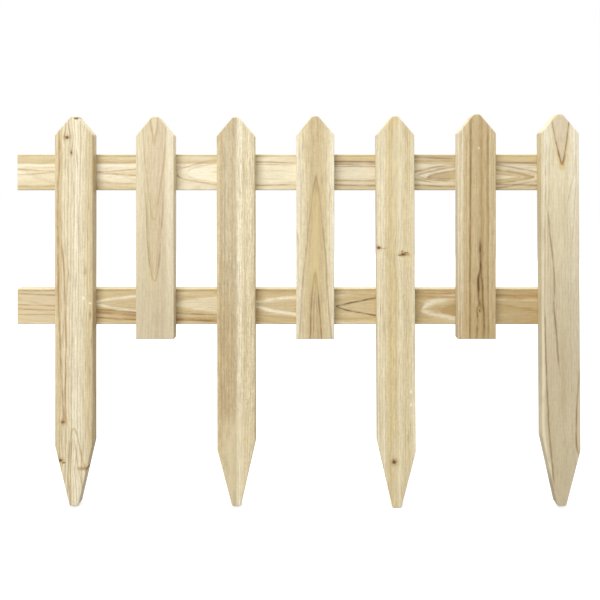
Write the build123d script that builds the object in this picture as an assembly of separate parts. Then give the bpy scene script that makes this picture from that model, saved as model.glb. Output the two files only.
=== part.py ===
from build123d import *
import os

# One section of low garden edging: seven flat pickets fixed across two rails.
# Millimetres, Z up, X along the fence to the right as seen from the front, Y to the back.
# The origin is the middle of the blunt tip of the first stake.

# Boards
picket_width = 48
picket_thickness = 16
rail_width = 46
rail_thickness = 16

# Length of the section
picket_count = 7
picket_gap = 54

# Heights
stake_height = 491
short_picket_height = 281
lower_rail_rise = 15
rail_spacing = 172

# Pointed head that every picket has
head_rise = 24
head_flat = 7
head_corner_radius = 4

# Sharpened foot of the stakes
tip_rise = 75
tip_flat = 11
tip_corner_radius = 2.5

# Eased rims round the front and back of every board
picket_rim_radius = 1.3
rail_rim_radius = 1.3

# Hand nailing: how far a picket sits off its mark along the rails, how far its tip stands to
# the right of its head, and how far head and foot miss the common line, by its number
off_mark = {3: 0, 4: -2.3, 5: -2.6, 6: -2.9, 7: 0.6}
sweep = {3: 1, 5: 2.4, 7: 3}
head_error = {2: -0.6, 3: -1.2, 6: 2.4, 7: 2.4}
foot_error = {5: -2.6}

# Hand sawing: how much higher the taper of a stake begins on its left and on its right side
taper_error = {1: (1, 4.5), 3: (-4, 4.5), 5: (7, -5), 7: (11, -5.5)}

# What follows from the sizes above
pitch = picket_width + picket_gap
first_edge = -picket_width / 2
last_edge = (picket_count - 1) * pitch + picket_width / 2
rail_start = first_edge - picket_gap
rail_end = last_edge
short_foot = stake_height - short_picket_height
lower_rail_bottom = short_foot + lower_rail_rise
upper_rail_bottom = lower_rail_bottom + rail_spacing


def is_stake(number):
    """Every other picket, the first and the last among them, runs down as a stake."""
    return number % 2 == 1


def picket_face(number):
    """Return the front view of a picket about its own centre line, tip or foot to head."""
    half = picket_width / 2
    top = stake_height + head_error.get(number, 0)
    bottom = foot_error.get(number, 0) + (0 if is_stake(number) else short_foot)
    left_error, right_error = taper_error.get(number, (0, 0))
    head = [
        (half, top - head_rise),
        (head_flat / 2, top),
        (-head_flat / 2, top),
        (-half, top - head_rise),
    ]
    square_foot = [(-half, bottom), (half, bottom)]
    sharp_foot = [
        (-half, bottom + tip_rise + left_error),
        (-tip_flat / 2, bottom),
        (tip_flat / 2, bottom),
        (half, bottom + tip_rise + right_error),
    ]
    foot = sharp_foot if is_stake(number) else square_foot
    slant = sweep.get(number, 0) / (top - bottom)
    outline = [(x + slant * ((top + bottom) / 2 - y), y) for x, y in head + foot]
    face = make_face(Polyline(*outline, close=True))
    face = fillet(face.vertices().sort_by(Axis.Y)[-len(head):], head_corner_radius)
    if is_stake(number):
        face = fillet(face.vertices().sort_by(Axis.Y)[:2], tip_corner_radius)
    return face


def board(face, front, thickness, rim_radius):
    """Return a board cut to a front view, with the rims of its front and back eased."""
    solid = extrude(Plane.XZ * face, amount=-thickness).moved(Location((0, front, 0)))
    rims = solid.faces().filter_by(Axis.Y).edges()
    return fillet(rims, rim_radius)


def picket(number):
    """Return one picket at its place along the rails, midway through at Y = 0."""
    along = (number - 1) * pitch + off_mark.get(number, 0)
    face = picket_face(number).moved(Location((along, 0, 0)))
    return board(face, -picket_thickness / 2, picket_thickness, picket_rim_radius)


def rail(bottom):
    """Return one rail, laid flat against the backs of the pickets."""
    length = rail_end - rail_start
    corner = Location((rail_start, bottom, 0))
    face = Rectangle(length, rail_width, align=(Align.MIN, Align.MIN)).moved(corner)
    return board(face, picket_thickness / 2, rail_thickness, rail_rim_radius)


nodes = {}
for number in range(1, picket_count + 1):
    kind = "stake" if is_stake(number) else "short_picket"
    nodes[f"{kind}_{number}"] = picket(number)
nodes["lower_rail"] = rail(lower_rail_bottom)
nodes["upper_rail"] = rail(upper_rail_bottom)

os.makedirs("parts", exist_ok=True)
for name, solid in nodes.items():
    export_step(solid, f"parts/{name}.step")
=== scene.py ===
"""Dresses the picket border edging: planed fir boards, the staples behind them, studio and camera."""

import logging
import math
from dataclasses import dataclass, field
from enum import Enum
from functools import partial
from typing import Optional

import bpy
import numpy as np
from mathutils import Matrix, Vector, noise

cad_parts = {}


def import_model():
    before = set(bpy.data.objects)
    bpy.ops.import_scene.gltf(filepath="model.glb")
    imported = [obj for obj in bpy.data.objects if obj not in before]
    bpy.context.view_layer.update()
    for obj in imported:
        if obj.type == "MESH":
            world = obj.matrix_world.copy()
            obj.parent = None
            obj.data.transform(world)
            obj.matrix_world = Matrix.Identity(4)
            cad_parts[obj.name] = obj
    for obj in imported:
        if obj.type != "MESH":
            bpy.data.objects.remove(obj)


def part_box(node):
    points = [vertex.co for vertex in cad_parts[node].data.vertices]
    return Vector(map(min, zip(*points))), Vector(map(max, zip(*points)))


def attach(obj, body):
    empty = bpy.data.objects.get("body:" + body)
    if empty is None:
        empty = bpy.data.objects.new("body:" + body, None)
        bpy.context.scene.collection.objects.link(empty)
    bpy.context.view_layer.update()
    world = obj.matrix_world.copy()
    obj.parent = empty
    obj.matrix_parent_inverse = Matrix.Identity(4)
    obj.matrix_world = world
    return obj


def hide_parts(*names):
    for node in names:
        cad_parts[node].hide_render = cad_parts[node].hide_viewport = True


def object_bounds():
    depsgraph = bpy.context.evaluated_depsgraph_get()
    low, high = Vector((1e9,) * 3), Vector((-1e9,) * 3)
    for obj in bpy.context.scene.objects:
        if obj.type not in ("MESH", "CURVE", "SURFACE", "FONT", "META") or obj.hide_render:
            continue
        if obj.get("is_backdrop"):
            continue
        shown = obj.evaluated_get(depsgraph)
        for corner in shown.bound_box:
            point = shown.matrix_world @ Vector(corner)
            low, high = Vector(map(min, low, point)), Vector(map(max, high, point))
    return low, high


LOG = logging.getLogger("edging")
MM = 0.001
BODY = "root"

# The kinds of node that the grain is drawn with.
MATH = "ShaderNodeMath"
VECTOR = "ShaderNodeVectorMath"
NOISE = "ShaderNodeTexNoise"
JOIN = "ShaderNodeCombineXYZ"
SPLIT = "ShaderNodeSeparateXYZ"

Socket = bpy.types.NodeSocket


def linear(hex_colour: str) -> tuple:
    """Turn an sRGB hex colour to linear light.

    Args:
        hex_colour: six hex digits after a hash.

    Returns:
        Red, green, blue and an alpha of one.
    """
    channels = [int(hex_colour[i:i + 2], 16) / 255 for i in (1, 3, 5)]
    return tuple(c / 12.92 if c <= 0.04045 else ((c + 0.055) / 1.055) ** 2.4 for c in channels) + (1.0,)


def add_node(tree: bpy.types.NodeTree, kind: str, inputs: dict, output: int = 0, **settings) -> Socket:
    """Add one node to a tree, with its settings and its links.

    Args:
        tree: the node tree.
        kind: Blender's name for the node's type.
        inputs: a value or a socket for each input, by its number or name.
        output: the number of the output that is wanted.
        settings: attributes of the node.

    Returns:
        That output's socket, whose node attribute is the new node.
    """
    node = tree.nodes.new(kind)
    for name, setting in settings.items():
        setattr(node, name, setting)
    for slot, value in inputs.items():
        if isinstance(value, bpy.types.NodeSocket):
            tree.links.new(value, node.inputs[slot])
        else:
            node.inputs[slot].default_value = value
    return node.outputs[output]


def new_object(name: str, mesh: bpy.types.Mesh, material: bpy.types.Material) -> bpy.types.Object:
    """Put a mesh into the scene under a name, smooth shaded and in one material.

    Args:
        name: the piece's name.
        mesh: its mesh, in metres in the frame of the whole section.
        material: its finish.

    Returns:
        The new object.
    """
    piece = bpy.data.objects.new(name, mesh)
    bpy.context.scene.collection.objects.link(piece)
    mesh.materials.append(material)
    mesh.shade_smooth()
    return piece


class Run(Enum):
    """Which way the grain of a board runs."""

    UPRIGHT = "upright"
    LEVEL = "level"


class Tone(Enum):
    """The tones of one pale fir, from fresh sapwood to a dead knot."""

    CREAM = "#F4EBD0"
    PALE = "#E8DCBA"
    STRAW = "#DCCCA3"
    ROSE = "#DAC8A8"
    TAN = "#CDB98F"
    HONEY = "#D8C188"
    GREY_TAN = "#C5B696"
    UMBER = "#B29663"
    RUST = "#A6793D"
    BARK = "#7D5926"
    KNOT = "#583A0C"


@dataclass(frozen=True)
class Mark:
    """A knot or a fleck on the face of a board, in millimetres from its middle and its foot.

    swirl is how far the grain parts around it, from 0 for a fleck to 1 for a knot.
    """

    across: float
    along: float
    half_width: float
    half_length: float
    tone: Tone
    swirl: float = 0.8


@dataclass(frozen=True)
class Streak:
    """A pitch streak, a dark growth line, a split or a line of painted edge shade, as (along, across)
    points in millimetres.

    A split is sunken into the face.
    """

    path: tuple
    width: float
    tone: Tone
    strength: float = 0.8
    sunken: bool = False


@dataclass(frozen=True)
class Arch:
    """A strong growth line that comes to a point on the face, in millimetres.

    opens is 1 where its legs run away from the foot and -1 where they run towards it. Its legs
    stand spread apart, each side of its middle, at span from its point; power is 1 for a
    straight V and one half for a round arch.
    """

    across: float
    along: float
    opens: int
    spread: float
    span: float
    power: float = 0.62
    reach: float = 150.0
    width: float = 1.2
    tone: Tone = Tone.UMBER
    strength: float = 0.7
    core: Optional[Tone] = None
    core_strength: float = 0.5
    slant: float = 0.0


@dataclass(frozen=True)
class PlanedFir:
    """Fir board, planed on all four sides and left untreated, in millimetres.

    The planer leaves a dry, matt face on which each year's dense late wood shows as a tan line.
    The rings are cylinders about the pith, which lies behind the face and wanders, so that they
    come out as arches and V shapes on the face and go on over the edges and ends.
    """

    bands: tuple
    pith_across: tuple
    pith_depth: tuple
    ring_width: float = 4.0
    late_tone: Tone = Tone.UMBER
    ring_strength: float = 0.6
    fine_tone: Tone = Tone.UMBER
    fine_strength: float = 0.6
    wander: float = 1.2
    fuzz: float = 0.5
    saw_marks: float = 0.03
    shade: tuple = ((0, 0), (500, 0))
    shade_tone: Tone = Tone.TAN
    seed: float = 0.0
    marks: tuple = ()
    streaks: tuple = ()
    arches: tuple = ()

    ROUGHNESS = 0.62
    FIR_IOR = 1.53
    RELIEF = 0.12 * MM

    def material(self, board: "Board") -> bpy.types.Material:
        """Build the finish for one board.

        Args:
            board: the board whose middle, foot and run place the grain.

        Returns:
            The material.
        """
        material = bpy.data.materials.new(f"planed_fir_{board.node}")
        material.use_nodes = True
        tree = material.node_tree
        tree.nodes.clear()
        colour, height = Grain(tree, self, board).paint()
        relief = {"Strength": 0.5, "Distance": self.RELIEF, "Height": height}
        bump = add_node(tree, "ShaderNodeBump", relief)
        surface = add_node(
            tree,
            "ShaderNodeBsdfPrincipled",
            {"Base Color": colour, "Roughness": self.ROUGHNESS, "IOR": self.FIR_IOR, "Normal": bump},
        )
        add_node_output(tree, surface)
        return material


class Grain:
    """The wood of one board, drawn in the node tree of its material.

    Places in the board are in millimetres: across from its middle, deep from its front face and
    along from its foot. straight joins the three, with the grain parted round the knots, and
    grain is the same place with the grain wandering as well.
    """

    # How dense the wood of one year is, by the share of the year.
    DENSITY = ((0.0, 0.0), (0.4, 0.05), (0.66, 0.25), (0.8, 0.6), (0.88, 1.0), (0.96, 0.85), (1.0, 0.05))
    # The whole height of the chart that a curve is drawn in, in millimetres.
    CURVE_SPAN = 160.0
    # How far an arch moves along the board for each millimetre of depth.
    ARCH_LEAN = 9.0
    # How far from its ends a streak begins to fade, in millimetres.
    STREAK_FADE = 10.0
    # The relief of planer marks and of splits, against that of one year's late wood.
    SAW_RELIEF = 20.0
    SPLIT_RELIEF = 4.0
    # The size of a knot's halo and of its core, against the size given for the knot.
    HALO = 2.6
    CORE = 1.3
    # How far across and along the grain parts round a knot, against the knot's half width.
    SWIRL = (3.4, 6.0)

    def __init__(self, tree: bpy.types.NodeTree, fir: PlanedFir, board: "Board") -> None:
        """Place the grain in the board.

        Args:
            tree: the node tree.
            fir: the finish.
            board: the board.
        """
        self.add = partial(add_node, tree)
        self.fir = fir
        self.length = board.length() / MM
        self.across, self.depth, self.along = self.board_axes(board)
        self.straight = self.add(JOIN, {0: self.part_round_knots(), 1: self.depth, 2: self.along})
        self.grain = self.let_wander()

    def paint(self) -> tuple:
        """Draw the wood, from its rings to its knots.

        Returns:
            The sockets of its colour and of its relief, where dense late wood stands proud.
        """
        fir = self.fir
        late = self.late_wood()
        colour = self.blend(late, self.ground(), fir.late_tone, fir.ring_strength)
        for arch in fir.arches:
            colour = self.draw_arch(colour, arch)
        colour = self.blend(self.fine_lines(), colour, fir.fine_tone, fir.fine_strength)
        fibre = self.stretched_noise(self.grain, width=1.4, length=13.0, shift=7.0)
        colour = self.brighten(colour, fibre, fir.fuzz)
        rough = self.stretched_noise(self.straight, width=2.4, length=3.2, shift=5.0)
        colour = self.brighten(colour, rough, 0.5 * fir.fuzz)
        saw = self.stretched_noise(self.straight, width=40.0, length=1.5, shift=2.0)
        colour = self.brighten(colour, saw, 2.0 * fir.saw_marks)
        height = self.add(MATH, {0: late, 1: fibre}, operation="ADD")
        saw_depth = self.SAW_RELIEF * fir.saw_marks
        height = self.add(MATH, {0: saw, 1: saw_depth, 2: height}, operation="MULTIPLY_ADD")
        for streak in fir.streaks:
            line = self.streak_line(streak)
            colour = self.blend(line, colour, streak.tone, streak.strength)
            if streak.sunken:
                split = {0: line, 1: -self.SPLIT_RELIEF, 2: height}
                height = self.add(MATH, split, operation="MULTIPLY_ADD")
        spots = self.roughen()
        for mark in fir.marks:
            colour = self.draw_mark(colour, spots, mark)
        # Faces that point up are paled here as painted light from above.
        return self.paint_top_light(colour), height

    def board_axes(self, board: "Board") -> tuple:
        """Give a point's place in the board.

        Args:
            board: the board.

        Returns:
            Three sockets: across from the middle, deep from the front face and along from the foot.
        """
        point = self.add("ShaderNodeTexCoord", {}, output=3)
        shift = tuple(-value / MM for value in board.origin())
        scale = (1 / MM, 1 / MM, 1 / MM)
        local = self.add(VECTOR, {0: point, 1: scale, 2: shift}, operation="MULTIPLY_ADD")
        x, y, z = self.add(SPLIT, {0: local}).node.outputs
        return (x, y, z) if board.run is Run.UPRIGHT else (z, y, x)

    def roughen(self) -> Socket:
        """Shake the place on the face by up to a millimetre, for knots and flecks.

        Returns:
            The shaken place.
        """
        spot = self.add(JOIN, {0: self.across, 1: self.along, 2: self.fir.seed * 9.0})
        pattern = self.add(NOISE, {"Vector": spot, "Scale": 0.45, "Detail": 2.0}, output=1)
        return self.shake(spot, pattern, 3.4)

    def shake(self, place: Socket, pattern: Socket, amount: float) -> Socket:
        """Move a place in its first two directions by a pattern around one half.

        Args:
            place: the place.
            pattern: a noise of three values.
            amount: how far the whole pattern would move it, in millimetres.

        Returns:
            The moved place.
        """
        centred = self.add(VECTOR, {0: pattern, 1: (0.5, 0.5, 0.5)}, operation="SUBTRACT")
        return self.add(VECTOR, {0: centred, 1: (amount, amount, 0.0), 2: place}, operation="MULTIPLY_ADD")

    def part_round_knots(self) -> Socket:
        """Push the grain apart beside each knot.

        Returns:
            The place across the board that the grain is drawn for.
        """
        across = self.across
        for mark in self.fir.marks:
            if not mark.swirl:
                continue
            spot = self.add(JOIN, {0: across, 1: self.along})
            width, length = (reach * mark.half_width for reach in self.SWIRL)
            near = self.nearness(spot, mark, width, length)
            offset = self.add(MATH, {0: across, 1: mark.across}, operation="SUBTRACT")
            push = self.add(MATH, {0: offset, 1: near}, operation="MULTIPLY")
            across = self.add(MATH, {0: push, 1: -mark.swirl, 2: across}, operation="MULTIPLY_ADD")
        return across

    def nearness(self, spot: Socket, mark: Mark, width: float, length: float) -> Socket:
        """Measure how near a place on the face lies to a mark.

        Args:
            spot: the place.
            mark: the knot or fleck.
            width: how far it is felt across the board.
            length: how far it is felt along the board.

        Returns:
            One at the mark, falling as a bell to nothing beyond its reach.
        """
        scale = (1 / width, 1 / length, 0.0)
        shift = (-mark.across / width, -mark.along / length, 0.0)
        scaled = self.add(VECTOR, {0: spot, 1: scale, 2: shift}, operation="MULTIPLY_ADD")
        square = self.add(VECTOR, {0: scaled, 1: scaled}, output=1, operation="DOT_PRODUCT")
        fall = self.add(MATH, {0: square, 1: -2.0}, operation="MULTIPLY")
        return self.add(MATH, {0: fall}, operation="EXPONENT")

    def stretched_noise(
        self, place: Socket, width: float, length: float, shift: float, output: int = 0
    ) -> Socket:
        """Give a noise drawn out along the grain.

        Args:
            place: the place in the board.
            width: the pattern's width across the grain.
            length: its length along the grain.
            shift: a number that sets this pattern apart from the others.
            output: 0 for one value, 1 for three.

        Returns:
            The noise's socket, around one half.
        """
        seed = self.fir.seed
        scale = (1 / width, 1 / width, 1 / length)
        start = (seed * 7.3 + shift, seed * 3.1 - shift, seed * 5.7)
        vector = self.add(VECTOR, {0: place, 1: scale, 2: start}, operation="MULTIPLY_ADD")
        return self.add(NOISE, {"Vector": vector, "Scale": 1.0, "Detail": 2.0}, output=output)

    def fine_lines(self) -> Socket:
        """Draw the thin, broken lines between the strong rings.

        Returns:
            How much of a line is here, from nothing to one.
        """
        levels = self.stretched_noise(self.straight, width=6.0, length=260.0, shift=3.0)
        steps = self.add(MATH, {0: levels, 1: 9.0}, operation="MULTIPLY")
        share = self.add(MATH, {0: steps, 1: 0.5}, operation="PINGPONG")
        line = self.between(share, 0.16, 0.02)
        breaks = self.stretched_noise(self.straight, width=5.0, length=45.0, shift=13.0)
        breaks = self.between(breaks, 0.36, 0.62)
        return self.add(MATH, {0: line, 1: breaks}, operation="MULTIPLY")

    def let_wander(self) -> Socket:
        """Let the straight grain wander gently, as the tree grew.

        Returns:
            The wandering place.
        """
        place = self.straight
        for width, length, reach in ((30.0, 120.0, 4.0), (6.0, 26.0, 1.2)):
            pattern = self.stretched_noise(place, width, length, shift=width, output=1)
            place = self.shake(place, pattern, reach * self.fir.wander)
        return place

    def curve(self, along: Socket, points: tuple) -> Socket:
        """Read a smooth line through points along the board.

        Args:
            along: the place along the board.
            points: (along, value) pairs.

        Returns:
            The value at this place.
        """
        share = self.add(MATH, {0: along, 1: 1 / self.length}, operation="MULTIPLY")
        value = self.add("ShaderNodeFloatCurve", {1: share})
        mapping = value.node.mapping
        line = mapping.curves[0]
        placed = sorted((x / self.length, 0.5 + y / self.CURVE_SPAN) for x, y in points)
        while len(line.points) < len(placed):
            line.points.new(0.5, 0.5)
        for point, location in zip(line.points, placed):
            point.location = location
            point.handle_type = "AUTO"
        mapping.use_clip = False
        mapping.update()
        span = self.CURVE_SPAN
        return self.add(MATH, {0: value, 1: span, 2: -0.5 * span}, operation="MULTIPLY_ADD")

    def late_wood(self) -> Socket:
        """Draw the yearly rings about the wandering pith.

        Returns:
            How much late wood is here: nothing in the spring wood, rising to one at a ring's edge.
        """
        across, depth, along = self.add(SPLIT, {0: self.grain}).node.outputs
        pith_across = self.curve(along, self.fir.pith_across)
        pith_depth = self.curve(along, self.fir.pith_depth)
        pith = self.add(JOIN, {0: pith_across, 1: pith_depth})
        flat = self.add(JOIN, {0: across, 1: depth})
        radius = self.add(VECTOR, {0: flat, 1: pith}, output=1, operation="DISTANCE")
        rings = self.add(MATH, {0: radius, 1: 1 / self.fir.ring_width}, operation="MULTIPLY")
        share = self.add(MATH, {0: rings}, operation="FRACT")
        year = self.add(MATH, {0: rings}, operation="FLOOR")
        stops = [(place, (level, level, level, 1.0)) for place, level in self.DENSITY]
        late = self.ramp(share, stops)
        vintage = self.add(MATH, {0: year, 1: self.fir.seed}, operation="ADD")
        vigour = self.add("ShaderNodeTexWhiteNoise", {"W": vintage}, noise_dimensions="1D")
        vigour = self.between(vigour, -0.7, 1.0)
        return self.add(MATH, {0: late, 1: vigour}, operation="MULTIPLY")

    def ramp(self, share: Socket, stops: list) -> Socket:
        """Turn a share into a colour.

        Args:
            share: the share, from nothing to one.
            stops: (share, colour) pairs in order, from nothing to one.

        Returns:
            The colour.
        """
        colour = self.add("ShaderNodeValToRGB", {0: share})
        elements = colour.node.color_ramp.elements
        elements[0].color = stops[0][1]
        elements[1].color = stops[-1][1]
        for place, tint in stops[1:-1]:
            elements.new(place).color = tint
        return colour

    def ground(self) -> Socket:
        """Lay the ground colour, which changes across the board between heart and sap wood.

        Returns:
            The colour's socket.
        """
        low, high = self.fir.bands[0][0], self.fir.bands[-1][0]
        stops = [((place - low) / (high - low), linear(tone.value)) for place, tone in self.fir.bands]
        across = self.add(SPLIT, {0: self.grain})
        colour = self.ramp(self.between(across, low, high), stops)
        shade = self.curve(self.along, self.fir.shade)
        colour = self.blend(shade, colour, self.fir.shade_tone, 1.0)
        drift = self.stretched_noise(self.grain, width=4.0, length=150.0, shift=17.0)
        colour = self.blend(self.between(drift, 0.42, 0.75), colour, Tone.TAN, 0.35)
        cloud = self.stretched_noise(self.straight, width=14.0, length=60.0, shift=11.0)
        return self.brighten(colour, cloud, 0.18)

    def between(self, value: Socket, low: float, high: float) -> Socket:
        """Stretch a value so that low gives nothing and high gives one.

        Args:
            value: the value.
            low: what gives nothing.
            high: what gives one.

        Returns:
            The stretched value, held between nothing and one.
        """
        return self.add("ShaderNodeMapRange", {0: value, 1: low, 2: high})

    def brighten(self, colour: Socket, pattern: Socket, amount: float) -> Socket:
        """Make a colour lighter and darker with a pattern around one half.

        Args:
            colour: the colour.
            pattern: the pattern.
            amount: how much brightness changes over the whole pattern.

        Returns:
            The changed colour.
        """
        level = self.add(MATH, {0: pattern, 1: amount, 2: 1.0 - 0.5 * amount}, operation="MULTIPLY_ADD")
        return self.add(VECTOR, {0: colour, 3: level}, operation="SCALE")

    def blend(self, mask: Socket, colour: Socket, tone: Tone, strength: float) -> Socket:
        """Lay a tone over a colour where a mask says so.

        Args:
            mask: where, from nothing to one.
            colour: the colour.
            tone: the tone.
            strength: how strongly it covers.

        Returns:
            The blended colour.
        """
        amount = self.add(MATH, {0: mask, 1: strength}, operation="MULTIPLY")
        inputs = {0: amount, 6: colour, 7: linear(tone.value)}
        return self.add("ShaderNodeMix", inputs, output=2, data_type="RGBA")

    def bell(self, value: Socket, width: float) -> Socket:
        """Turn a distance into a soft line.

        Args:
            value: the distance from the middle of the line.
            width: the line's width.

        Returns:
            One on the line, falling to nothing beside it.
        """
        share = self.add(MATH, {0: value, 1: 1.4 / width}, operation="MULTIPLY")
        square = self.add(MATH, {0: share, 1: share}, operation="MULTIPLY")
        fall = self.add(MATH, {0: square, 1: -1.0}, operation="MULTIPLY")
        return self.add(MATH, {0: fall}, operation="EXPONENT")

    def draw_arch(self, colour: Socket, arch: Arch) -> Socket:
        """Draw one pointed growth line, which moves along the board with depth.

        Args:
            colour: the wood's colour so far.
            arch: the line.

        Returns:
            The colour with the line and the tint of its core.
        """
        across, depth, along = self.add(SPLIT, {0: self.grain}).node.outputs
        way = self.add(MATH, {0: along, 1: arch.along}, operation="SUBTRACT")
        sunk = self.add(MATH, {0: depth, 1: -self.ARCH_LEAN}, operation="MULTIPLY")
        way = self.add(MATH, {0: way, 1: float(arch.opens), 2: sunk}, operation="MULTIPLY_ADD")
        aside = self.add(MATH, {0: across, 1: arch.across}, operation="SUBTRACT")
        aside = self.add(MATH, {0: way, 1: -arch.slant, 2: aside}, operation="MULTIPLY_ADD")
        aside = self.add(MATH, {0: aside}, operation="ABSOLUTE")
        share = self.add(MATH, {0: way, 1: 1 / arch.span}, operation="MULTIPLY")
        share = self.add(MATH, {0: share, 1: 0.0}, operation="MAXIMUM")
        share = self.add(MATH, {0: share, 1: arch.power}, operation="POWER")
        half_width = self.add(MATH, {0: share, 1: arch.spread}, operation="MULTIPLY")
        outside = self.add(MATH, {0: aside, 1: half_width}, operation="SUBTRACT")
        begun = self.between(way, -1.0, 0.5)
        fading = self.between(way, arch.reach, 0.55 * arch.reach)
        window = self.add(MATH, {0: begun, 1: fading}, operation="MULTIPLY")
        if arch.core:
            inside = self.between(outside, 0.6, -0.9)
            inside = self.add(MATH, {0: inside, 1: window}, operation="MULTIPLY")
            colour = self.blend(inside, colour, arch.core, arch.core_strength)
        line = self.bell(outside, arch.width)
        line = self.add(MATH, {0: line, 1: window}, operation="MULTIPLY")
        return self.blend(self.fade_in_places(line), colour, arch.tone, arch.strength)

    def fade_in_places(self, line: Socket) -> Socket:
        """Let a growth line come and go along its way, as dense wood does.

        Args:
            line: the line's strength.

        Returns:
            The changing strength.
        """
        patches = self.stretched_noise(self.grain, width=9.0, length=18.0, shift=23.0)
        patches = self.add("ShaderNodeMapRange", {0: patches, 1: 0.32, 2: 0.55, 3: 0.45, 4: 1.0})
        return self.add(MATH, {0: line, 1: patches}, operation="MULTIPLY")

    def streak_line(self, streak: Streak) -> Socket:
        """Draw the line of one streak or split, fading out at both ends.

        Args:
            streak: the streak.

        Returns:
            How much of the streak is here, from nothing to one.
        """
        course = self.curve(self.along, streak.path)
        across = self.add(SPLIT, {0: self.grain})
        offset = self.add(MATH, {0: across, 1: course}, operation="SUBTRACT")
        mask = self.fade_in_places(self.bell(offset, streak.width))
        ends = sorted(point[0] for point in streak.path)
        fade = self.STREAK_FADE
        for low, high in ((ends[0] - fade, ends[0] + fade), (ends[-1] + fade, ends[-1] - fade)):
            window = self.between(self.along, low, high)
            mask = self.add(MATH, {0: mask, 1: window}, operation="MULTIPLY")
        return mask

    def draw_mark(self, colour: Socket, spots: Socket, mark: Mark) -> Socket:
        """Draw one knot or fleck, with a soft halo round a knot.

        Args:
            colour: the wood's colour so far.
            spots: the roughened place on the face.
            mark: the knot or fleck.

        Returns:
            The colour with the mark.
        """
        if mark.swirl:
            halo = self.nearness(spots, mark, self.HALO * mark.half_width, self.HALO * mark.half_length)
            colour = self.blend(halo, colour, Tone.RUST, 0.75)
        core = self.nearness(spots, mark, self.CORE * mark.half_width, self.CORE * mark.half_length)
        return self.blend(self.between(core, 0.1, 0.7), colour, mark.tone, 0.9)

    def paint_top_light(self, colour: Socket) -> Socket:
        """Make what faces up paler: painted light from above on the heads, slopes and top faces.

        Args:
            colour: the wood's colour so far.

        Returns:
            The paler colour.
        """
        normal = self.add("ShaderNodeNewGeometry", {}, output=1)
        upward = self.add(SPLIT, {0: normal}, output=2)
        return self.blend(self.between(upward, 0.2, 0.7), colour, Tone.PALE, 0.6)


def add_node_output(tree: bpy.types.NodeTree, surface: Socket) -> None:
    """Send a shader to the material's output."""
    output = tree.nodes.new("ShaderNodeOutputMaterial")
    tree.links.new(surface, output.inputs["Surface"])


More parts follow.
